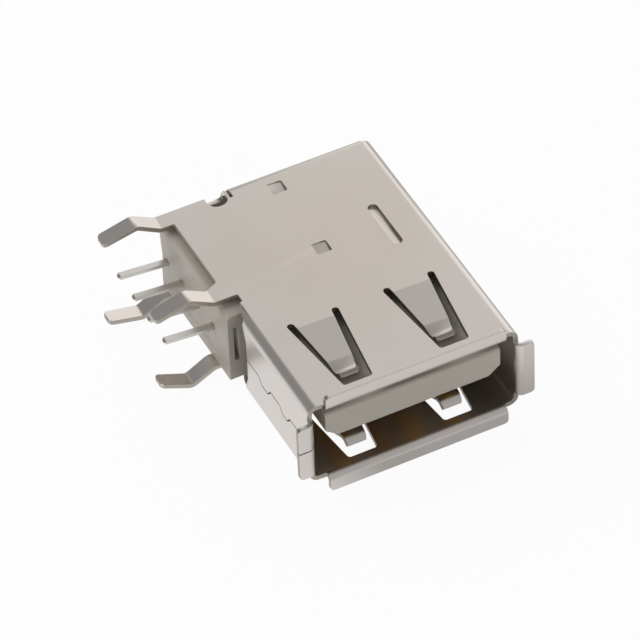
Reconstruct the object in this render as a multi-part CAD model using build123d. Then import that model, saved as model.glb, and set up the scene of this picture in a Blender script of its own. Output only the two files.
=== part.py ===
from build123d import *
import math
import os

# USB-A socket that stands on edge on a circuit board: a folded sheet metal shell, one moulded
# insulator with the tongue, and four stamped contacts. It lies here on its wide side.
# X runs across the mouth, the mouth faces -Y and Z is up, all in millimetres. The origin is the
# centre of the mouth, in the plane of the lips' front faces. Legs and tails leave towards -X.

# Sheet metal shell
SHEET = 0.30
OPENING_WIDTH = 12.50
OPENING_HEIGHT = 5.12
BEND_INSIDE = 0.30
SHELL_LENGTH = 18.76
REAR_GAP = 0.11

# Flared lips around the mouth
LIP_REACH = 1.09
LIP_BEND_INSIDE = 0.15
LIP_CORNER = 0.25
TOP_LIP_WIDTH = 11.20
BOTTOM_LIP_WIDTH = 11.17
BOTTOM_LIP_SHIFT = 0.085
SIDE_LIP_HEIGHT = 3.88

# Spring fingers, two in the upper wall and two in the lower one
FINGER_SPACING = 6.00
FINGER_ROOT = 6.70
UPPER_FINGER_TIP = 2.23
LOWER_FINGER_TIP = 1.67
FINGER_ROOT_WIDTH = 2.38
FINGER_TIP_WIDTH = 1.19
FINGER_TIP_CORNER = 0.20
FINGER_SLOT = 0.40
FINGER_DROP = 0.29
FINGER_STEP = 0.21
FINGER_CURL = 0.33
FINGER_CURL_RUN = 0.37
FINGER_VALLEY = 0.35
FINGER_STEP_RUN = 0.52
UPPER_WINDOW_FRONT = 1.20
LOWER_WINDOW_FRONT = 0.93
WINDOW_FRONT_WIDTH = 1.78
WINDOW_CORNER = 0.20

# Dimples and rib pressed into the upper wall, which hold the insulator down
DIMPLE_SIZE = 0.92
DIMPLE_FRONT_Y = 11.57
DIMPLE_REAR_Y = 17.20
PRESS_RIB_X = 4.00
PRESS_RIB_WIDTH = 0.60
PRESS_RIB_LENGTH = 3.60
PRESS_RIB_Y = 11.55
PRESS_RIB_SHALLOW = 0.16
DIMPLE_SHALLOW = 0.04
DIMPLE_LEAN = -75
PRESS_MARGIN = 0.08

# Joint of the folded sheet along the left wall, with its two locking tabs
SEAM_HEIGHT = 0.10
SEAM_GAP = 0.07
SEAM_TAB_DEPTH = 0.42
SEAM_TAB_FLANK = 0.35
SEAM_FRONT_TAB_Y = 3.35
SEAM_FRONT_TAB_WIDTH = 0.55
SEAM_REAR_TAB_Y = 5.87
SEAM_REAR_TAB_WIDTH = 0.75

# Open left side, where the insulator and the tails come out
BASE_DEPTH = 9.50
SIDE_EDGE_LEAD = 1.40
SIDE_EDGE_HALF = 1.40
SIDE_EDGE_CORNER = 0.52
SIDE_EDGE_RUN = 1.22
SIDE_EDGE_SKIN = 0.18
SIDE_TRIM = 0.68
RELIEF_LENGTH = 0.62
EDGE_OVERHANG = 0.05

# Closing flap at the rear, folded down from the upper wall
FLAP_NOTCH_LEFT = -4.08
FLAP_NOTCH_WIDTH = 1.26
FLAP_NOTCH_DEPTH = 0.97
FLAP_NOTCH_CORNER = 0.60
FLAP_NOTCH_DIP = 0.38
FLAP_NOTCH_DIP_CORNER = 0.34
FLAP_SLIT_LEFT = -2.70
FLAP_SLIT_WIDTH = 0.18
FLAP_SLIT_DEPTH = 0.60
FLAP_SIDE_INSET = 0.35
FLAP_TOP_INSET = 0.42

# Solder legs, bent out of the upper and lower walls
LEG_WIDTH = 1.05
LEG_TIP_WIDTH = 0.95
LEG_TIP_CORNER = 0.30
LEG_FOOT = 7.30
LEG_PEAK = 8.70
LEG_REACH = 10.87
LEG_BEND = 0.45
REAR_LEG_RISE = 0.80
REAR_LEG_RETURN = 0.50
FRONT_LEG_RISE = 0.76
FRONT_LEG_RETURN = 0.61
FRONT_LEG_FLARE = 0.38
LOWER_LEG_REACH = 10.65
LOWER_LEG_RETURN = 0.86
LOWER_LEG_SETBACK = 0.47

# Moulded insulator: tongue, and the base behind it
TONGUE_WIDTH = 10.90
TONGUE_THICKNESS = 1.84
TONGUE_UNDERSIDE = 0.055
TONGUE_SETBACK = 0.47
TONGUE_CHAMFER_X = 0.75
TONGUE_CHAMFER_Z = 0.58
TONGUE_NOSE = 0.12
BASE_LEFT = 7.00
BASE_HEADROOM = 0.22
BASE_SIDE_GAP = 0.05
BASE_REAR_GAP = 0.02
BASE_REAR_HOLLOW = 0.34
BASE_EDGE = 0.08
BASE_SHOULDER = 0.28
POCKET_DEPTH = 1.30
POCKET_MARGIN = 0.25
SLIT_WIDTH = 0.30
SLIT_DEPTH = 1.40
SLIT_INSET = 0.36
SLIT_BOTTOM = -1.16
SLIT_TOP = 1.39
PARTING_HEIGHT = 0.85
PARTING_DEPTH = 0.07

# Stamped contacts
CONTACT_SHEET = 0.22
CONTACT_SINK = 0.055
CONTACT_FIT = 0.02
BLADE_WIDTH = 1.00
BLADE_INNER_SPACING = 2.00
BLADE_OUTER_SPACING = 7.00
BLADE_TIP = 1.65
BLADE_BULGE_Y = 3.20
BLADE_BULGE = 0.52
BLADE_HINGE = 6.20
BLADE_BEND = 0.60
BLADE_FIT = 0.06
TAIL_WIDTH = 0.43
TAIL_SETBACK = 2.02
TAIL_REAR_SETBACK = 0.98
TAIL_LENGTH = 3.10
TAIL_TILT = 5.2
TAIL_BEND = 0.50
TAIL_POINT = 0.10

# Worked out from the sizes above
HALF_WIDTH = OPENING_WIDTH / 2 + SHEET
HALF_HEIGHT = OPENING_HEIGHT / 2 + SHEET
BEND_OUTSIDE = BEND_INSIDE + SHEET
MOUTH_EDGE = LIP_BEND_INSIDE + SHEET
FLAP_INSIDE = SHELL_LENGTH - SHEET
WALL_REAR = FLAP_INSIDE - REAR_GAP
SIDE_EDGE = BASE_DEPTH - SIDE_EDGE_LEAD
RELIEF_FRONT = SIDE_EDGE + SIDE_EDGE_CORNER + SIDE_EDGE_RUN
SIDE_EDGE_LEFT = HALF_WIDTH - EDGE_OVERHANG
LEG_FRONT_Y = RELIEF_FRONT + RELIEF_LENGTH + LEG_WIDTH / 2
LEG_REAR_Y = WALL_REAR - LEG_WIDTH / 2
BASE_TOP = OPENING_HEIGHT / 2 - BASE_HEADROOM
BASE_BOTTOM = -OPENING_HEIGHT / 2
BASE_REAR = FLAP_INSIDE - BASE_REAR_GAP
TAIL_PITCH = (BASE_REAR - TAIL_REAR_SETBACK - BASE_DEPTH - TAIL_SETBACK) / 3
CONTACT_LEVEL = TONGUE_UNDERSIDE + CONTACT_SINK - CONTACT_SHEET / 2
# Spare length for cutting and joining solids, not a size of the part
SPARE = 1.0


def along_x(section, x_from, x_to):
    """A section drawn in Y and Z, run along X."""
    return extrude(Plane.YZ.offset(x_from) * section, amount=x_to - x_from)


def along_y(section, y_from, y_to):
    """A section drawn in X and Z, run along Y."""
    return extrude(Plane.XZ.offset(-y_to) * section, amount=y_to - y_from)


def along_z(section, z_from, z_to):
    """A section drawn in X and Y, run along Z."""
    return extrude(Plane.XY.offset(z_from) * section, amount=z_to - z_from)


def block(x_from, x_to, y_from, y_to, z_from, z_to):
    """A plain block between two corners."""
    middle = ((x_from + x_to) / 2, (y_from + y_to) / 2, (z_from + z_to) / 2)
    return Pos(*middle) * Box(x_to - x_from, y_to - y_from, z_to - z_from)


def outline(*points):
    """A face inside straight lines through the points."""
    return make_face(Polyline(*points, close=True))


def strip(points, bend, thickness):
    """The section of a sheet that follows the points at its middle and bends at each."""
    return trace(FilletPolyline(*points, radius=bend), thickness)


def lips():
    """Four lips, bent outwards at the mouth."""
    start = MOUTH_EDGE + SHEET
    front = SHEET / 2
    bend = LIP_BEND_INSIDE + SHEET / 2
    made = []
    rows = ((1, TOP_LIP_WIDTH, 0), (-1, BOTTOM_LIP_WIDTH, BOTTOM_LIP_SHIFT))
    for side, width, shift in rows:
        wall = side * (HALF_HEIGHT - SHEET / 2)
        edge = side * (OPENING_HEIGHT / 2 + LIP_REACH)
        section = strip([(start, wall), (front, wall), (front, edge)], bend, SHEET)
        lip = along_x(section, shift - width / 2, shift + width / 2)
        corners = lip.edges().filter_by(Axis.Y).sort_by(lambda edge: side * edge.center().Z)
        made.append(fillet(corners[-2:], LIP_CORNER))
    for side in (1, -1):
        wall = side * (HALF_WIDTH - SHEET / 2)
        edge = side * (OPENING_WIDTH / 2 + LIP_REACH)
        section = strip([(wall, start), (wall, front), (edge, front)], bend, SHEET)
        lip = along_z(section, -SIDE_LIP_HEIGHT / 2, SIDE_LIP_HEIGHT / 2)
        corners = lip.edges().filter_by(Axis.Y).sort_by(lambda edge: side * edge.center().X)
        made.append(fillet(corners[-2:], LIP_CORNER))
    return made


def finger_window(x, side):
    """The opening around one finger, with a round end to each slot."""
    rear = FINGER_ROOT_WIDTH / 2 + FINGER_SLOT
    front = WINDOW_FRONT_WIDTH / 2
    front_y = UPPER_WINDOW_FRONT if side > 0 else LOWER_WINDOW_FRONT
    window = outline(
        (x - front, front_y),
        (x + front, front_y),
        (x + rear, FINGER_ROOT),
        (x - rear, FINGER_ROOT),
    )
    window = fillet(window.vertices().sort_by(Axis.Y)[:2], WINDOW_CORNER)
    for slot in (1, -1):
        middle = x + slot * (FINGER_ROOT_WIDTH + FINGER_SLOT) / 2
        window += Pos(middle, FINGER_ROOT) * Circle(FINGER_SLOT / 2)
    top = HALF_HEIGHT + SPARE
    bottom = OPENING_HEIGHT / 2 - SHEET / 2
    if side > 0:
        return along_z(window, bottom, top)
    return along_z(window, -top, -bottom)


def finger(x, side):
    """A tapered spring finger that steps down into the mouth and curls back at its tip."""
    level = HALF_HEIGHT - SHEET / 2
    tip = UPPER_FINGER_TIP if side > 0 else LOWER_FINGER_TIP
    valley_end = tip + FINGER_CURL_RUN
    valley_start = valley_end + FINGER_VALLEY
    valley = level - FINGER_DROP - FINGER_STEP
    points = [
        (FINGER_ROOT + SHEET, level),
        (FINGER_ROOT - SHEET, level),
        (valley_start + FINGER_STEP_RUN, level - FINGER_DROP),
        (valley_start, valley),
        (valley_end, valley),
        (tip, valley + FINGER_CURL),
    ]
    points = [(y, side * z) for y, z in points]
    bent = along_x(strip(points, SHEET / 2, SHEET), x - FINGER_ROOT_WIDTH, x + FINGER_ROOT_WIDTH)
    front = tip - SHEET / 4
    plan = outline(
        (x - FINGER_TIP_WIDTH / 2, front),
        (x + FINGER_TIP_WIDTH / 2, front),
        (x + FINGER_ROOT_WIDTH / 2, FINGER_ROOT),
        (x + FINGER_ROOT_WIDTH / 2, FINGER_ROOT + SPARE),
        (x - FINGER_ROOT_WIDTH / 2, FINGER_ROOT + SPARE),
        (x - FINGER_ROOT_WIDTH / 2, FINGER_ROOT),
    )
    plan = fillet(plan.vertices().sort_by(Axis.Y)[:2], FINGER_TIP_CORNER)
    return bent & along_z(plan, -HALF_HEIGHT - SPARE, HALF_HEIGHT + SPARE)


def press(wall, plan, boss_plan, x, y, lean, shallow):
    """Press a sloping hollow into the upper wall, with its boss on the inside.

    lean is the compass direction, in degrees from +X, in which the hollow gets deeper, and
    shallow is its depth at the other end.
    """
    deep = BASE_HEADROOM
    corner = plan.bounding_box().size
    turn = math.radians(lean)
    reach = (corner.X * abs(math.cos(turn)) + corner.Y * abs(math.sin(turn))) / 2
    slope = math.atan2((deep - shallow) / 2, reach)
    middle = HALF_HEIGHT - (deep + shallow) / 2
    floor = Plane(
        origin=(x, y, middle),
        z_dir=(math.cos(turn) * math.sin(slope), math.sin(turn) * math.sin(slope), math.cos(slope)),
    )
    room = 2 * reach + corner.X + corner.Y
    above = Pos(0, 0, SPARE / 2) * Box(room, room, SPARE)
    hollow = Pos(x, y) * plan
    boss = Pos(x, y) * boss_plan
    boss = along_z(boss, BASE_TOP, HALF_HEIGHT - SHEET / 2)
    boss = boss & (floor.offset(-SHEET) * above)
    hollow = along_z(hollow, BASE_TOP, HALF_HEIGHT + SPARE / 2) & (floor * above)
    return wall + boss - hollow


def seam():
    """The cut along the left wall where the two edges of the sheet meet."""
    path = [(-SPARE, SEAM_HEIGHT)]
    tabs = (
        (SEAM_FRONT_TAB_Y, SEAM_FRONT_TAB_WIDTH),
        (SEAM_REAR_TAB_Y, SEAM_REAR_TAB_WIDTH),
    )
    for middle, width in tabs:
        path.append((middle - width / 2 - SEAM_TAB_FLANK, SEAM_HEIGHT))
        path.append((middle - width / 2, SEAM_HEIGHT - SEAM_TAB_DEPTH))
        path.append((middle + width / 2, SEAM_HEIGHT - SEAM_TAB_DEPTH))
        path.append((middle + width / 2 + SEAM_TAB_FLANK, SEAM_HEIGHT))
    path.append((SIDE_EDGE + SPARE, SEAM_HEIGHT))
    line = strip(path, SEAM_TAB_FLANK / 4, SEAM_GAP)
    return along_x(line, -OPENING_WIDTH / 2 - LIP_REACH - SPARE, -OPENING_WIDTH / 2 + SHEET)


def open_side():
    """What is cut away on the left, from the wall's curved rear edge to the rear."""
    corner_y = SIDE_EDGE + SIDE_EDGE_CORNER
    corner_z = HALF_HEIGHT - SIDE_EDGE_SKIN
    far = HALF_HEIGHT + SPARE
    edge = outline(
        (SIDE_EDGE, -SIDE_EDGE_HALF),
        (SIDE_EDGE, SIDE_EDGE_HALF),
        (corner_y, corner_z),
        (RELIEF_FRONT, HALF_HEIGHT),
        (RELIEF_FRONT, far),
        (SHELL_LENGTH + SPARE, far),
        (SHELL_LENGTH + SPARE, -far),
        (RELIEF_FRONT, -far),
        (RELIEF_FRONT, -HALF_HEIGHT),
        (corner_y, -corner_z),
    )
    front = edge.vertices().sort_by(Axis.X)
    edge = fillet(front[:2], SIDE_EDGE_HALF / 2)
    return along_x(edge, -HALF_WIDTH - LIP_REACH - SPARE, -HALF_WIDTH + SIDE_TRIM)


def leg(side, y, rise, back, reach, flare):
    """A solder leg: flat foot, rise to a kink, and a return to its rounded tip."""
    level = HALF_HEIGHT - SHEET / 2
    root = -HALF_WIDTH + SIDE_TRIM + SHEET
    points = [
        (root, level),
        (-LEG_FOOT, level),
        (-LEG_PEAK, level + rise),
        (-reach, level + rise - back),
    ]
    points = [(x, side * z) for x, z in points]
    bent = along_y(strip(points, LEG_BEND, SHEET), y - LEG_WIDTH, y + LEG_WIDTH)
    narrow = (LEG_WIDTH - LEG_TIP_WIDTH) / 2
    plan = outline(
        (root, y - LEG_WIDTH / 2),
        (-LEG_FOOT, y - LEG_WIDTH / 2),
        (-reach, y - LEG_WIDTH / 2 + narrow),
        (-reach, y + LEG_WIDTH / 2 - narrow),
        (-LEG_FOOT, y + LEG_WIDTH / 2),
        (-SIDE_EDGE_LEFT, y + LEG_WIDTH / 2 + flare),
        (root, y + LEG_WIDTH / 2 + flare),
    )
    plan = fillet(plan.vertices().sort_by(Axis.X)[:2], LEG_TIP_CORNER)
    return bent & along_z(plan, -HALF_HEIGHT - 2 * rise, HALF_HEIGHT + 2 * rise)


def legs_and_edge(side):
    """The flat left edge of one wall between its two legs, with the legs."""
    setback = 0 if side > 0 else LOWER_LEG_SETBACK
    front_y = LEG_FRONT_Y + setback
    root = -HALF_WIDTH + SIDE_TRIM + SHEET
    z = side * (HALF_HEIGHT - SHEET / 2)
    edge = block(-SIDE_EDGE_LEFT, root, front_y, WALL_REAR, z - SHEET / 2, z + SHEET / 2)
    if side > 0:
        front = leg(side, front_y, FRONT_LEG_RISE, FRONT_LEG_RETURN, LEG_REACH, FRONT_LEG_FLARE)
    else:
        front = leg(side, front_y, FRONT_LEG_RISE, LOWER_LEG_RETURN, LOWER_LEG_REACH, 0)
    rear = leg(side, LEG_REAR_Y, REAR_LEG_RISE, REAR_LEG_RETURN, LEG_REACH, 0)
    return edge + front + rear


def flap(left):
    """The rear flap: a fold along the flat of the upper wall and the wider plate below it."""
    level = HALF_HEIGHT - SHEET / 2
    plate_y = SHELL_LENGTH - SHEET / 2
    side = HALF_WIDTH - FLAP_SIDE_INSET
    low = HALF_HEIGHT - FLAP_TOP_INSET
    middle_bend = BEND_INSIDE + SHEET / 2
    points = [(WALL_REAR - SHEET, level), (plate_y, level), (plate_y, low - SHEET)]
    folded = along_x(strip(points, middle_bend, SHEET), left, HALF_WIDTH - BEND_OUTSIDE)
    return folded + block(-side, side, FLAP_INSIDE, SHELL_LENGTH, -HALF_HEIGHT, low)


def make_shell():
    """The folded shell, one piece of sheet metal."""
    outer = RectangleRounded(2 * HALF_WIDTH, 2 * HALF_HEIGHT, BEND_OUTSIDE)
    inner = RectangleRounded(OPENING_WIDTH, OPENING_HEIGHT, BEND_INSIDE)
    body = along_y(outer - inner, MOUTH_EDGE, WALL_REAR)
    notch_x = FLAP_NOTCH_LEFT + FLAP_NOTCH_WIDTH / 2
    body -= block(
        notch_x, HALF_WIDTH - BEND_OUTSIDE, SHELL_LENGTH - BEND_OUTSIDE, SHELL_LENGTH,
        OPENING_HEIGHT / 2 - SHEET, HALF_HEIGHT + SPARE,
    )
    body += flap(notch_x)
    notch = Pos(notch_x, WALL_REAR) * RectangleRounded(
        FLAP_NOTCH_WIDTH, 2 * FLAP_NOTCH_DEPTH, FLAP_NOTCH_CORNER
    )
    flap_top = HALF_HEIGHT - FLAP_TOP_INSET
    body -= along_z(notch, flap_top, HALF_HEIGHT + SPARE)
    dip = Pos(notch_x, flap_top) * RectangleRounded(
        FLAP_NOTCH_WIDTH, 2 * FLAP_NOTCH_DIP, FLAP_NOTCH_DIP_CORNER
    )
    body -= along_y(dip, FLAP_INSIDE - REAR_GAP / 2, SHELL_LENGTH + SPARE)
    body -= block(
        FLAP_SLIT_LEFT, FLAP_SLIT_LEFT + FLAP_SLIT_WIDTH, WALL_REAR - FLAP_SLIT_DEPTH,
        SHELL_LENGTH + SPARE, flap_top, HALF_HEIGHT + SPARE,
    )
    body -= open_side()
    for side in (1, -1):
        body += legs_and_edge(side)
        for x in (-FINGER_SPACING / 2, FINGER_SPACING / 2):
            body = body - finger_window(x, side) + finger(x, side)
    for lip in lips():
        body += lip
    dimple = RectangleRounded(DIMPLE_SIZE, DIMPLE_SIZE, DIMPLE_SIZE / 8)
    dimple_boss = offset(dimple, PRESS_MARGIN)
    for y in (DIMPLE_FRONT_Y, DIMPLE_REAR_Y):
        body = press(body, dimple, dimple_boss, 0, y, DIMPLE_LEAN, DIMPLE_SHALLOW)
    rib = SlotOverall(PRESS_RIB_LENGTH, PRESS_RIB_WIDTH, rotation=90)
    rib_boss = offset(rib, PRESS_MARGIN)
    body = press(body, rib, rib_boss, PRESS_RIB_X, PRESS_RIB_Y, 0, PRESS_RIB_SHALLOW)
    return body - seam()


def blade_places():
    """The X of each contact's blade, from left to right."""
    outer = BLADE_OUTER_SPACING / 2
    inner = BLADE_INNER_SPACING / 2
    return (-outer, -inner, inner, outer)


def tail_places():
    """The Y of each contact's tail, from the mouth to the rear."""
    first = BASE_DEPTH + TAIL_SETBACK
    return [first + number * TAIL_PITCH for number in range(4)]


def make_contact(x, y):
    """A contact: a sprung blade under the tongue, and a tail out of the left side."""
    bulge = CONTACT_LEVEL - BLADE_BULGE
    points = [
        (y + TAIL_WIDTH / 2, CONTACT_LEVEL),
        (BLADE_HINGE, CONTACT_LEVEL),
        (BLADE_BULGE_Y, bulge),
        (BLADE_TIP, CONTACT_LEVEL),
    ]
    blade = along_x(strip(points, BLADE_BEND, CONTACT_SHEET), x - BLADE_WIDTH / 2, x + BLADE_WIDTH / 2)
    exit_x = -BASE_LEFT - TAIL_BEND / 2
    run = TAIL_LENGTH - TAIL_BEND / 2
    tip = (exit_x - run, CONTACT_LEVEL + run * math.tan(math.radians(TAIL_TILT)))
    points = [(x, CONTACT_LEVEL), (exit_x, CONTACT_LEVEL), tip]
    tail = along_y(strip(points, TAIL_BEND, CONTACT_SHEET), y - TAIL_WIDTH / 2, y + TAIL_WIDTH / 2)
    tail = chamfer(tail.faces().sort_by(Axis.X)[0].edges(), TAIL_POINT)
    return blade + tail


def passage(x, y):
    """The room that one contact takes in the insulator."""
    low = CONTACT_LEVEL - CONTACT_SHEET / 2 - CONTACT_FIT
    high = CONTACT_LEVEL + CONTACT_SHEET / 2 + CONTACT_FIT
    half_blade = BLADE_WIDTH / 2
    half_tail = TAIL_WIDTH / 2 + CONTACT_FIT
    groove = half_blade + BLADE_FIT
    cut = block(x - groove, x + groove, BLADE_TIP - 2 * CONTACT_SHEET, BASE_DEPTH, low, high)
    fit = half_blade + CONTACT_FIT
    cut += block(x - fit, x + fit, BASE_DEPTH - SPARE, y + half_tail, low, high)
    return cut + block(-BASE_LEFT - SPARE, x, y - half_tail, y + half_tail, low, high)


def make_insulator():
    """The insulator, one moulding: the tongue in the mouth and the base that holds it."""
    right = OPENING_WIDTH / 2 - BASE_SIDE_GAP
    base = block(-BASE_LEFT, right, BASE_DEPTH, BASE_REAR, BASE_BOTTOM, BASE_TOP)
    low_right = base.edges().filter_by(Axis.Y).sort_by(lambda edge: edge.center().X - edge.center().Z)
    base = fillet(low_right[-1], BEND_INSIDE)
    rear_top = base.edges().filter_by(Axis.X).sort_by(lambda edge: edge.center().Y + edge.center().Z)
    base = fillet(rear_top[-1], max(BEND_INSIDE - BASE_HEADROOM, BASE_EDGE))
    top_left = base.edges().filter_by(Axis.Y).sort_by(lambda edge: edge.center().X - edge.center().Z)
    base = fillet(top_left[0], BASE_SHOULDER)
    hollow = outline(
        (BASE_REAR - BASE_REAR_HOLLOW, CONTACT_LEVEL + CONTACT_SHEET),
        (BASE_REAR - BASE_REAR_HOLLOW, CONTACT_LEVEL - 4 * CONTACT_SHEET),
        (BASE_REAR + SPARE, CONTACT_LEVEL - 4 * CONTACT_SHEET - BASE_REAR_HOLLOW - SPARE),
        (BASE_REAR + SPARE, BASE_TOP + SPARE),
        (BASE_REAR, BASE_TOP - BASE_EDGE),
    )
    base -= along_x(hollow, -BASE_LEFT - SPARE, right + SPARE)
    base -= block(
        FLAP_NOTCH_LEFT - POCKET_MARGIN, FLAP_SLIT_LEFT + FLAP_SLIT_WIDTH + POCKET_MARGIN,
        WALL_REAR - FLAP_NOTCH_DEPTH - POCKET_MARGIN, BASE_REAR + SPARE,
        BASE_TOP - POCKET_DEPTH, BASE_TOP + SPARE,
    )
    slit_left = -BASE_LEFT + SLIT_INSET
    base -= block(
        slit_left, slit_left + SLIT_WIDTH, BASE_DEPTH - SPARE, BASE_DEPTH + SLIT_DEPTH,
        SLIT_BOTTOM, SLIT_TOP,
    )
    line_z = BASE_BOTTOM + PARTING_HEIGHT
    groove = outline(
        (-BASE_LEFT - PARTING_DEPTH, line_z + 2 * PARTING_DEPTH),
        (-BASE_LEFT + PARTING_DEPTH, line_z),
        (-BASE_LEFT - PARTING_DEPTH, line_z - 2 * PARTING_DEPTH),
    )
    base -= along_y(groove, BASE_DEPTH - SPARE, BASE_REAR + SPARE)
    half = TONGUE_WIDTH / 2
    top = TONGUE_UNDERSIDE + TONGUE_THICKNESS
    section = outline(
        (-half, top),
        (half, top),
        (half, TONGUE_UNDERSIDE + TONGUE_CHAMFER_Z),
        (half - TONGUE_CHAMFER_X, TONGUE_UNDERSIDE),
        (-half + TONGUE_CHAMFER_X, TONGUE_UNDERSIDE),
        (-half, TONGUE_UNDERSIDE + TONGUE_CHAMFER_Z),
    )
    tongue = along_y(section, TONGUE_SETBACK, BASE_DEPTH + SHEET)
    nose = tongue.faces().sort_by(Axis.Y)[0].edges().sort_by(Axis.Z)[-1]
    tongue = chamfer(nose, TONGUE_NOSE)
    insulator = base + tongue
    for x, y in zip(blade_places(), tail_places()):
        insulator -= passage(x, y)
    return insulator


def main():
    pieces = {"shell": make_shell(), "insulator": make_insulator()}
    for number, (x, y) in enumerate(zip(blade_places(), tail_places()), 1):
        pieces[f"contact_{number}"] = make_contact(x, y)
    os.makedirs("parts", exist_ok=True)
    for name, piece in pieces.items():
        export_step(piece, f"parts/{name}.step")
        print(name, len(piece.solids()), "solid", round(piece.volume, 3), "mm3")


main()
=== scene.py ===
import math

import bmesh
import bpy
from mathutils import Matrix, Vector
from mathutils.bvhtree import BVHTree


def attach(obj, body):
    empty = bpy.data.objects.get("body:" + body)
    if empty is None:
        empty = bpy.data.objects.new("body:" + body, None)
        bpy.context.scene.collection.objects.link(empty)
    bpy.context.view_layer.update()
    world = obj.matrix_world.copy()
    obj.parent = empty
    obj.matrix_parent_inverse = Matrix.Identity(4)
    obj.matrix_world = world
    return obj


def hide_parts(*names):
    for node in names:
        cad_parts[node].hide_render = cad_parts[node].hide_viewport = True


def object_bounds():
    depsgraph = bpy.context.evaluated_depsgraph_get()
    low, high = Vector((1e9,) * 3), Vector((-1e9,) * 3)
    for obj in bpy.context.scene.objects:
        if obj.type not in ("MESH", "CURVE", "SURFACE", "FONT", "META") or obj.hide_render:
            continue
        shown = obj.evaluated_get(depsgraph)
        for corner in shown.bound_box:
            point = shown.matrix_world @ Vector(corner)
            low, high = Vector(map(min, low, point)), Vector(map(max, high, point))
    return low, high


# USB-A socket for a circuit board, lying on its wide side on a white studio floor.
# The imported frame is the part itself. This file gives each piece its rounded edges, its
# material, the studio around it and the camera of the photograph.

MM = 0.001
# Stands in for the squared length of an edge that has none
TINY = 1e-18

# The photograph's view: the camera's direction as seen from the part, and where it aims.
# The aim point is drawn at the aim pixel of a 640 by 640 image.
CAMERA_AZIMUTH = -24.99
CAMERA_ELEVATION = 44.38
CAMERA_ROLL = -2.66
CAMERA_DISTANCE = 310.5 * MM
CAMERA_AIM = (0, 8 * MM, 0)
CAMERA_CLIP_START = 10 * MM
AIM_PIXEL = (352.0, 322.5)
IMAGE_SIZE = 640
FOCAL_PIXELS = 5523
SENSOR_WIDTH = 36

# Rounding left on cut and moulded edges
SHEET_EDGE = 0.06 * MM
PLASTIC_EDGE = 0.06 * MM
CONTACT_EDGE = 0.03 * MM
BEVEL_SEGMENTS = 3
# How strongly the shading of a rounding follows the large faces beside it, out of 100
LARGE_FACE_WEIGHT = 80
# Points of the solid's mesh this close are one point, and faces this close to flat are one face
WELD = 0.004 * MM
FLAT_ANGLE = math.radians(0.6)
# An edge that turns by more than this is rounded, unless it borders a face narrower than a sliver
SHARP_ANGLE = math.radians(34)
SLIVER = 0.005 * MM
# A face of the sheet with more metal than this straight behind it is one that the punch cut
CUT_DEPTH = 0.55 * MM
CUT_START = 0.02 * MM
# A cut face whose normal points up by more than this share, such as the end of a lip, faces the light
# from above and is left out of the cut faces' painted shade
FACING_UP = 0.9
# The marks pressed into the top lie behind this line, and their edges turn by this much or more
PRESSED_FRONT_Y = 8 * MM
PRESSED_HALF_WIDTH = 5.5 * MM
PRESSED_TOP_Z = 2.87 * MM
PRESSED_DEPTH = 0.32 * MM
PRESSED_ANGLE = math.radians(3)
PRESSED_SHARE = 0.35
# The slots in the front of the insulator's block, inside the shell, keep their sharp edges
BLOCK_FRONT_Y = 9.5 * MM
BLOCK_INNER_X = 6.7 * MM
# A rounding reaches at most this share of the radius of a curved outline, such as the seam's.
# An outline is curved where it turns by this much or more, and it ends at a corner. Only the
# pressed marks, which are the tightest, may go under the least share.
TIGHT_SHARE = 0.5
LEAST_SHARE = 0.45
CURVE_ANGLE = math.radians(3)
CORNER_ANGLE = math.radians(50)
# Rings cut through the long folds, so that the roundings at their ends don't tint them
FOLD_RINGS_Y = (0.75 * MM, 8.2 * MM)
# A rounded point this share of the rounding away from the solid's surface has gone astray
STRAY_SHARE = 1.1
STRAY_REACH = 0.3 * MM
SETTLE_ROUNDS = 4

# The clouds in the sheet's plating: their part in the tint, and its shift from the middle of the
# warm patch on the shell's top to the end of the patch's reach
CLOUD_PART = 0.7
WARM_PATCH = (0.5 * MM, 12 * MM, 2.86 * MM)
WARM_PATCH_REACH = 8 * MM
WARM_PATCH_SHIFT = (0.4, -0.25)
SHEET_ROUGHNESS = (0.29, 0.34)
# Where the tin plating of a contact's tail gives way to the gold of its blade
TAIL_TIN_X = (-6.9 * MM, -6.6 * MM)

WHITE = (1, 1, 1, 1)
FLOOR_SIZE = 3.0
# The floor's own share of white as the camera sees it, and its brightness as the metal mirrors it
FLOOR_GLOW = 0.94
FLOOR_SHINE = 0.86
# The metal mirrors the floor in front dimmer by this share, and near the mouth's right side dimmer again:
# painted shade, standing for the part's own shade on the floor
FRONT_SHARE = 0.07
FRONT_Y = (4 * MM, 0 * MM)
SHADE_SHARE = 0.44
SHADE_X = (-6 * MM, -2 * MM)
SHADE_Y = (-6.5 * MM, -1.5 * MM)
# The room's brightness all round, and what its window and its front wall add to it
ROOM_LEVEL = 0.28
WINDOW_LEVEL = 0.82
FRONT_LEVEL = 0.20
WINDOW_COLOUR = (1.0, 0.965, 0.93)
# The window's and the wall's soft limits: a direction, and how far along it they begin and are full
WINDOW_RIGHT = ((0.985, -0.174, 0), -0.08, 0.20)
WINDOW_BEHIND = ((0, 1, 0), -0.2, 0.3)
WINDOW_BELOW = ((0, 0, -1), -1.0, -0.5)
FRONT_WALL = ((0.2, -0.75, 0.6), 0.34, 0.94)
# Lamps: size, power and offset from the part's centre
LAMPS = {
    "rear_softbox": (0.32, 1.0, (-0.20, 0.26, 0.32)),
    "side_card": (0.16, 0.13, (-0.28, -0.06, 0.05)),
    "front_card": (0.20, 0.14, (0.06, -0.28, 0.09)),
}

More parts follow.
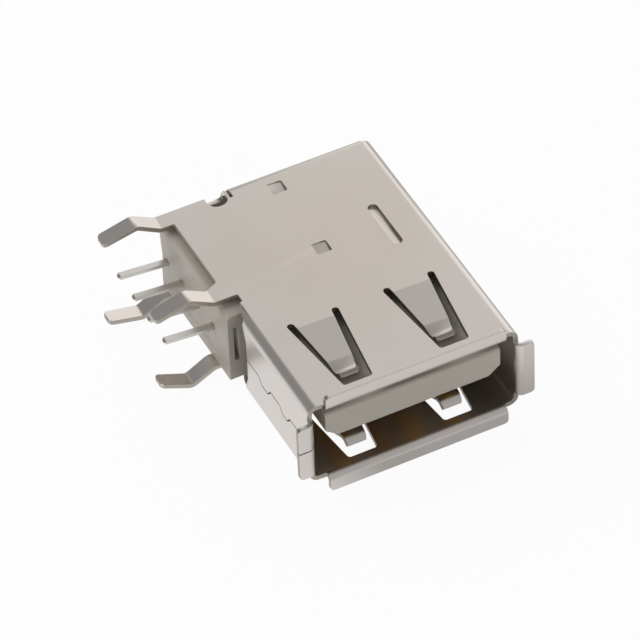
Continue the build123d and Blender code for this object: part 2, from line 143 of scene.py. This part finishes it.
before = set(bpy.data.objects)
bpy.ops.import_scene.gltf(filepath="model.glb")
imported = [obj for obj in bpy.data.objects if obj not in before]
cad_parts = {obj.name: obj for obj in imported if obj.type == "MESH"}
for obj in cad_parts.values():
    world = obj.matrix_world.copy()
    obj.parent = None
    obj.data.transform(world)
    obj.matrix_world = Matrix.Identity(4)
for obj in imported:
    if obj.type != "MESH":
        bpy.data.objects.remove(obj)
cad_low, cad_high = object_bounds()


def linear(hex_colour):
    """A colour written as sRGB hex, as the linear values that a shader takes."""
    values = [int(hex_colour[i:i + 2], 16) / 255 for i in (0, 2, 4)]
    return [v / 12.92 if v <= 0.04045 else ((v + 0.055) / 1.055) ** 2.4 for v in values] + [1.0]


def add(tree, kind, inputs=None, **settings):
    """Add a node, set its properties, and fill its inputs with values or links."""
    made = tree.nodes.new(kind)
    for name, value in settings.items():
        setattr(made, name, value)
    for name, value in (inputs or {}).items():
        if isinstance(value, bpy.types.NodeSocket):
            tree.links.new(value, made.inputs[name])
        else:
            made.inputs[name].default_value = value
    return made


def times(tree, first, second):
    return add(tree, "ShaderNodeMath", {0: first, 1: second}, operation="MULTIPLY").outputs[0]


def plus(tree, first, second):
    return add(tree, "ShaderNodeMath", {0: first, 1: second}, operation="ADD").outputs[0]


def less(tree, value, share):
    """What is left of 1 when this share of the value is taken off."""
    return add(tree, "ShaderNodeMath", {0: value, 1: -share, 2: 1.0}, operation="MULTIPLY_ADD").outputs[0]


def span(tree, value, ends=(0, 1), results=(0, 1)):
    """From one result to the other as the value goes from one end to the other."""
    return add(
        tree, "ShaderNodeMapRange",
        {
            "Value": value, "From Min": ends[0], "From Max": ends[1],
            "To Min": results[0], "To Max": results[1],
        },
    ).outputs["Result"]


def noise(tree, place, size_mm, detail):
    """Clouds whose features are this many millimetres across."""
    return add(
        tree, "ShaderNodeTexNoise", {"Vector": place, "Scale": 1 / (size_mm * MM), "Detail": detail},
    ).outputs["Fac"]


def blend(tree, share, first, second):
    """The first colour where the share is 0 and the second where it is 1."""
    return add(
        tree, "ShaderNodeMix", {"Factor": share, "A": linear(first), "B": linear(second)},
        data_type="RGBA",
    ).outputs["Result"]


def relief(tree, height, strength, depth):
    """The shading of a surface that is this deep between the height's 0 and 1."""
    return add(
        tree, "ShaderNodeBump", {"Height": height, "Strength": strength, "Distance": depth},
    ).outputs["Normal"]


def new_material(name):
    """A material without nodes, its node tree, and the place in the object that its clouds follow."""
    made = bpy.data.materials.new(name)
    made.use_nodes = True
    tree = made.node_tree
    tree.nodes.clear()
    return made, tree, add(tree, "ShaderNodeTexCoord").outputs["Object"]


def surface(tree, inputs):
    """End a material's nodes in one surface with these inputs."""
    shader = add(tree, "ShaderNodeBsdfPrincipled", inputs)
    add(tree, "ShaderNodeOutputMaterial", {"Surface": shader.outputs["BSDF"]})


def plated_sheet():
    """Tin plated steel sheet, rolled, punched and folded: a soft silver with a warm cast."""
    material, tree, place = new_material("tin_plated_sheet")
    # Handling and plating leave cloudy patches some millimetres wide, and a warm one on the top
    cloud = noise(tree, place, size_mm=5.0, detail=3.0)
    away = add(tree, "ShaderNodeVectorMath", {0: place, 1: WARM_PATCH}, operation="DISTANCE")
    warmth = span(tree, away.outputs["Value"], (0, WARM_PATCH_REACH), WARM_PATCH_SHIFT)
    patch = add(
        tree, "ShaderNodeMath", {0: cloud, 1: CLOUD_PART, 2: warmth},
        operation="MULTIPLY_ADD", use_clamp=True,
    )
    # The real grain of the plating is under 0.02 mm, and is drawn coarser so that it shows
    grain = noise(tree, place, size_mm=0.12, detail=2.0)
    surface(tree, {
        "Base Color": blend(tree, patch.outputs[0], "E2DCD8", "DED6CB"), "Metallic": 1.0,
        "Roughness": span(tree, cloud, results=SHEET_ROUGHNESS),
        "Normal": relief(tree, grain, strength=0.05, depth=0.02 * MM),
    })
    return material


def cut_edge_and_shade():
    """The edge of the sheet where the punch sheared it: bare rough steel, a little brown, whose darker
    colour also paints the shade that lies along the cut edges.
    """
    material, tree, place = new_material("sheared_edge_and_shade")
    # Torn grain about 0.03 mm across, drawn coarser so that it shows
    grain = noise(tree, place, size_mm=0.1, detail=2.0)
    surface(tree, {
        "Base Color": blend(tree, grain, "A39C91", "BDB6AC"), "Metallic": 1.0, "Roughness": 0.38,
    })
    return material


def moulded_plastic():
    """Glass filled nylon, moulded: a pale grey ivory that lets a little light in."""
    material, tree, place = new_material("glass_filled_nylon")
    flow = noise(tree, place, size_mm=3.0, detail=2.0)
    # Spark eroded mould skin, about 0.05 mm between its grains, drawn coarser so that it shows
    skin = noise(tree, place, size_mm=0.15, detail=1.0)
    surface(tree, {
        "Base Color": blend(tree, flow, "AEA89E", "B8B2A8"), "Roughness": 0.5, "IOR": 1.53,
        "Subsurface Weight": 0.25, "Subsurface Radius": (1.0, 0.9, 0.7),
        "Subsurface Scale": 0.4 * MM,
        "Normal": relief(tree, skin, strength=0.12, depth=0.01 * MM),
    })
    return material


def plated_contact():
    """Stamped bronze strip: gold plated blade, tin plated tail."""
    material, tree, place = new_material("plated_bronze_strip")
    across = add(tree, "ShaderNodeSeparateXYZ", {"Vector": place}).outputs["X"]
    # Fine marks of the drawing of the strip, drawn 0.1 mm apart
    marks = noise(tree, place, size_mm=0.1, detail=1.0)
    surface(tree, {
        "Base Color": blend(tree, span(tree, across, TAIL_TIN_X), "D6D3D0", "D9A441"),
        "Metallic": 1.0, "Roughness": 0.3,
        "Normal": relief(tree, marks, strength=0.06, depth=0.01 * MM),
    })
    return material


def skin_of(mesh):
    """The mesh's surface as it is now, for finding what lies near or behind a point."""
    return BVHTree.FromPolygons([v.co for v in mesh.vertices], [tuple(p.vertices) for p in mesh.polygons])


def mark_cut_faces(mesh):
    """Give the second material to the faces with no opposite skin of the sheet close behind them.

    The ends of the lips, which face up into the light, are left out of this painted shade and stay as
    bright as the sheet.
    """
    skin = skin_of(mesh)
    mesh.calc_loop_triangles()
    largest = {}
    for part in mesh.loop_triangles:
        if part.area > largest.get(part.polygon_index, (0, None))[0]:
            largest[part.polygon_index] = (part.area, part.center)
    for index, (_, place) in largest.items():
        face = mesh.polygons[index]
        depth = skin.ray_cast(place - face.normal * CUT_START, -face.normal)[3]
        if depth is not None and depth > CUT_DEPTH and face.normal.z < FACING_UP:
            face.material_index = 1


def is_pressed(edge):
    """True for an edge of the marks pressed into the top."""
    return edge.calc_face_angle(0) > PRESSED_ANGLE and all(
        abs(v.co.x) < PRESSED_HALF_WIDTH and v.co.y > PRESSED_FRONT_Y
        and PRESSED_TOP_Z - PRESSED_DEPTH < v.co.z < PRESSED_TOP_Z
        for v in edge.verts
    )


def is_inside_block(edge):
    """True for an edge of the slots in the front of the insulator's block, which the shell hides."""
    return all(abs(v.co.y - BLOCK_FRONT_Y) < WELD and abs(v.co.x) < BLOCK_INNER_X for v in edge.verts)


def is_slim(face):
    """True for a sliver left by the tessellation, whose direction means nothing."""
    return face.calc_area() < SLIVER * max(side.calc_length() for side in face.edges)


def turn_after(loop):
    """How far a face's outline turns at the end of this side: positive where the face is convex."""
    here = loop.link_loop_next.vert.co - loop.vert.co
    ahead = loop.link_loop_next.link_loop_next.vert.co - loop.link_loop_next.vert.co
    return math.copysign(here.angle(ahead, 0), here.cross(ahead).dot(loop.face.normal))


def share_along_outlines(shares, edge):
    """Lower the shares of the rounding on tight curves, and evenly along the outlines that hold them."""
    for line in shares:
        least = LEAST_SHARE if shares[line] == 1 else 0
        for loop in line.link_loops:
            turns = turn_after(loop.link_loop_prev), turn_after(loop)
            if min(turns) > CURVE_ANGLE:
                radius = line.calc_length() / (sum(turns) / 2)
                shares[line] = min(shares[line], max(least, TIGHT_SHARE * radius / edge))
    waiting = list(shares)
    while waiting:
        line = waiting.pop()
        for loop in line.link_loops:
            for near, turn in (
                (loop.link_loop_next.edge, turn_after(loop)),
                (loop.link_loop_prev.edge, turn_after(loop.link_loop_prev)),
            ):
                if near in shares and abs(turn) < CORNER_ANGLE and shares[near] > shares[line]:
                    shares[near] = shares[line]
                    waiting.append(near)


def distance_to_line(point, start, end):
    along = end - start
    reach = max(0, min(1, (point - start).dot(along) / max(along.length_squared, TINY)))
    return (start + reach * along - point).length


def settle(piece, edge):
    """Take the rounding off the edges around any place where it leaves the solid's surface."""
    mesh = piece.data
    skin = skin_of(mesh)
    share = mesh.attributes["bevel_weight_edge"].data
    for _ in range(SETTLE_ROUNDS):
        rounded = piece.evaluated_get(bpy.context.evaluated_depsgraph_get())
        near = [skin.find_nearest(v.co) for v in rounded.to_mesh().vertices]
        rounded.to_mesh_clear()
        stray = [place for place, _, _, gap in near if gap > STRAY_SHARE * edge]
        if not stray:
            break
        for line in mesh.edges:
            if share[line.index].value > 0:
                start, end = (mesh.vertices[i].co for i in line.vertices)
                if any(distance_to_line(place, start, end) < STRAY_REACH for place in stray):
                    share[line.index].value = 0
                    line.use_edge_sharp = True
        mesh.update()


def clean(work, punched):
    """Weld the solid's mesh and merge its flat faces. The punched sheet also gets its fold rings."""
    bmesh.ops.remove_doubles(work, verts=work.verts, dist=WELD)
    for face in work.faces:
        face.smooth = True
        face.material_index = 0
    bmesh.ops.dissolve_limit(
        work, angle_limit=FLAT_ANGLE, verts=work.verts, edges=work.edges, use_dissolve_boundaries=False,
    )
    if punched:
        for y in FOLD_RINGS_Y:
            whole = list(work.verts) + list(work.edges) + list(work.faces)
            bmesh.ops.bisect_plane(work, geom=whole, dist=WELD, plane_co=(0, y, 0), plane_no=(0, 1, 0))


def weigh_edges(work, edge, punched):
    """Write down for each edge which share of the rounding it gets."""
    weight = work.edges.layers.float.new("bevel_weight_edge")
    shares = {}
    for line in work.edges:
        pressed = punched and is_pressed(line)
        if line.calc_face_angle(0) > SHARP_ANGLE or pressed:
            line.smooth = not (any(is_slim(face) for face in line.link_faces) or is_inside_block(line))
            if line.smooth:
                shares[line] = PRESSED_SHARE if pressed else 1
    share_along_outlines(shares, edge)
    for line, share in shares.items():
        line[weight] = share


def dress(node, edge, materials):
    """A copy of a solid's mesh, welded, with its sharp edges rounded, in place of the solid.

    A second material goes to the faces that the punch cut.
    """
    punched = len(materials) > 1
    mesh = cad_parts[node].data.copy()
    mesh.name = node + "_finished"
    mesh.materials.clear()
    for material in materials:
        mesh.materials.append(material)
    work = bmesh.new()
    work.from_mesh(mesh)
    clean(work, punched)
    weigh_edges(work, edge, punched)
    work.to_mesh(mesh)
    work.free()
    if punched:
        mark_cut_faces(mesh)
    piece = bpy.data.objects.new(node + "_finished", mesh)
    bpy.context.scene.collection.objects.link(piece)
    rounding = piece.modifiers.new("rounded_edges", "BEVEL")
    rounding.width = edge
    rounding.segments = BEVEL_SEGMENTS
    rounding.use_clamp_overlap = False
    rounding.limit_method = "WEIGHT"
    rounding.miter_outer = "MITER_ARC"
    settle(piece, edge)
    shading = piece.modifiers.new("even_shading", "WEIGHTED_NORMAL")
    shading.keep_sharp = True
    shading.weight = LARGE_FACE_WEIGHT
    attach(piece, "root")
    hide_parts(node)


def studio_floor():
    """A white table that the camera sees evenly bright, and that the metal mirrors at its own level, with
    painted shade in front of the mouth.
    """
    mesh = bpy.data.meshes.new("studio_floor")
    half = FLOOR_SIZE / 2
    corners = [(-half, -half), (half, -half), (half, half), (-half, half)]
    mesh.from_pydata([(x, y, cad_low.z) for x, y in corners], [], [(0, 1, 2, 3)])
    floor = bpy.data.objects.new("studio_floor", mesh)
    bpy.context.scene.collection.objects.link(floor)
    material, tree, place = new_material("white_floor")
    path = add(tree, "ShaderNodeLightPath").outputs
    seen, glossy = path["Is Camera Ray"], path["Is Glossy Ray"]
    spot = add(tree, "ShaderNodeSeparateXYZ", {"Vector": place}).outputs
    in_front = span(tree, spot["Y"], FRONT_Y)
    shaded = times(tree, span(tree, spot["X"], SHADE_X), span(tree, spot["Y"], SHADE_Y))
    dimmed = times(tree, less(tree, in_front, FRONT_SHARE), less(tree, shaded, SHADE_SHARE))
    mirrored = times(tree, times(tree, glossy, FLOOR_SHINE), dimmed)
    paper = add(tree, "ShaderNodeBsdfDiffuse", {"Color": linear("F6F6F6")}).outputs["BSDF"]
    glow = add(tree, "ShaderNodeEmission", {"Color": WHITE, "Strength": plus(tree, seen, mirrored)})
    glow_share = plus(tree, times(tree, seen, FLOOR_GLOW), glossy)
    mixed = add(tree, "ShaderNodeMixShader", {0: glow_share, 1: paper, 2: glow.outputs["Emission"]})
    add(tree, "ShaderNodeOutputMaterial", {"Surface": mixed.outputs["Shader"]})
    mesh.materials.append(material)


def ramp(tree, way, along, start, end, level=1.0):
    """A brightness that grows from nothing to the level along a direction of the room."""
    reach = add(
        tree, "ShaderNodeVectorMath", {0: way, 1: Vector(along).normalized()}, operation="DOT_PRODUCT",
    )
    return add(
        tree, "ShaderNodeMapRange",
        {"Value": reach.outputs["Value"], "From Min": start, "From Max": end, "To Max": level},
        interpolation_type="SMOOTHSTEP",
    ).outputs["Result"]


def studio_room():
    """A dim room with a broad soft window behind on the right, which the camera sees as plain white."""
    world = bpy.data.worlds.new("studio_world")
    world.use_nodes = True
    bpy.context.scene.world = world
    tree = world.node_tree
    tree.nodes.clear()
    way = add(tree, "ShaderNodeTexCoord").outputs["Generated"]
    behind_right = times(tree, ramp(tree, way, *WINDOW_RIGHT), ramp(tree, way, *WINDOW_BEHIND))
    window = times(tree, behind_right, ramp(tree, way, *WINDOW_BELOW, WINDOW_LEVEL))
    plain = plus(tree, ramp(tree, way, *FRONT_WALL, FRONT_LEVEL), ROOM_LEVEL)
    warm = add(tree, "ShaderNodeVectorMath", {0: WINDOW_COLOUR, "Scale": window}, operation="SCALE")
    total = add(tree, "ShaderNodeVectorMath", {0: warm.outputs[0], 1: plain}, operation="ADD")
    room = add(tree, "ShaderNodeBackground", {"Color": total.outputs[0], "Strength": 1.0}).outputs[0]
    white = add(tree, "ShaderNodeBackground", {"Color": WHITE, "Strength": 1.0}).outputs[0]
    seen = add(tree, "ShaderNodeLightPath").outputs["Is Camera Ray"]
    mixed = add(tree, "ShaderNodeMixShader", {0: seen, 1: room, 2: white})
    add(tree, "ShaderNodeOutputWorld", {"Surface": mixed.outputs["Shader"]})


def studio_lamps():
    """Three soft lamps that aim at the part, and that the metal doesn't mirror."""
    centre = (cad_low + cad_high) / 2
    for name, (size, power, offset) in LAMPS.items():
        light = bpy.data.lights.new(name, "AREA")
        light.size = size
        light.energy = power
        lamp = bpy.data.objects.new(name, light)
        lamp.visible_glossy = False
        lamp.location = centre + Vector(offset)
        lamp.rotation_euler = Vector(offset).to_track_quat("Z", "Y").to_euler()
        bpy.context.scene.collection.objects.link(lamp)


def camera():
    """The photograph's camera, from its direction, roll, distance and aim."""
    azimuth, elevation, roll = (math.radians(v) for v in (CAMERA_AZIMUTH, CAMERA_ELEVATION, CAMERA_ROLL))
    towards = Vector((
        math.sin(azimuth) * math.cos(elevation),
        -math.cos(azimuth) * math.cos(elevation),
        math.sin(elevation),
    ))
    right = Vector((0, 0, 1)).cross(towards).normalized()
    up = towards.cross(right)
    turned_right = math.cos(roll) * right + math.sin(roll) * up
    turned_up = math.cos(roll) * up - math.sin(roll) * right
    middle = IMAGE_SIZE / 2
    aside = (AIM_PIXEL[0] - middle) / FOCAL_PIXELS * CAMERA_DISTANCE
    above = (middle - AIM_PIXEL[1]) / FOCAL_PIXELS * CAMERA_DISTANCE
    place = Vector(CAMERA_AIM) + CAMERA_DISTANCE * towards - aside * turned_right - above * turned_up
    data = bpy.data.cameras.new("photograph_camera")
    data.sensor_width = SENSOR_WIDTH
    data.lens = FOCAL_PIXELS / IMAGE_SIZE * SENSOR_WIDTH
    data.clip_start = CAMERA_CLIP_START
    made = bpy.data.objects.new("photograph_camera", data)
    axes = Matrix((turned_right, turned_up, towards)).transposed()
    made.matrix_world = Matrix.Translation(place) @ axes.to_4x4()
    bpy.context.scene.collection.objects.link(made)
    bpy.context.scene.camera = made


bpy.context.scene.view_settings.view_transform = "Standard"
camera()
studio_floor()
studio_room()
studio_lamps()

# The second metal is the bare steel of the cut faces, with painted shade in its darker colour
metal = [plated_sheet(), cut_edge_and_shade()]
plastic = [moulded_plastic()]
strip = [plated_contact()]
dress("shell", SHEET_EDGE, metal)
dress("insulator", PLASTIC_EDGE, plastic)
for number in range(1, 5):
    dress(f"contact_{number}", CONTACT_EDGE, strip)
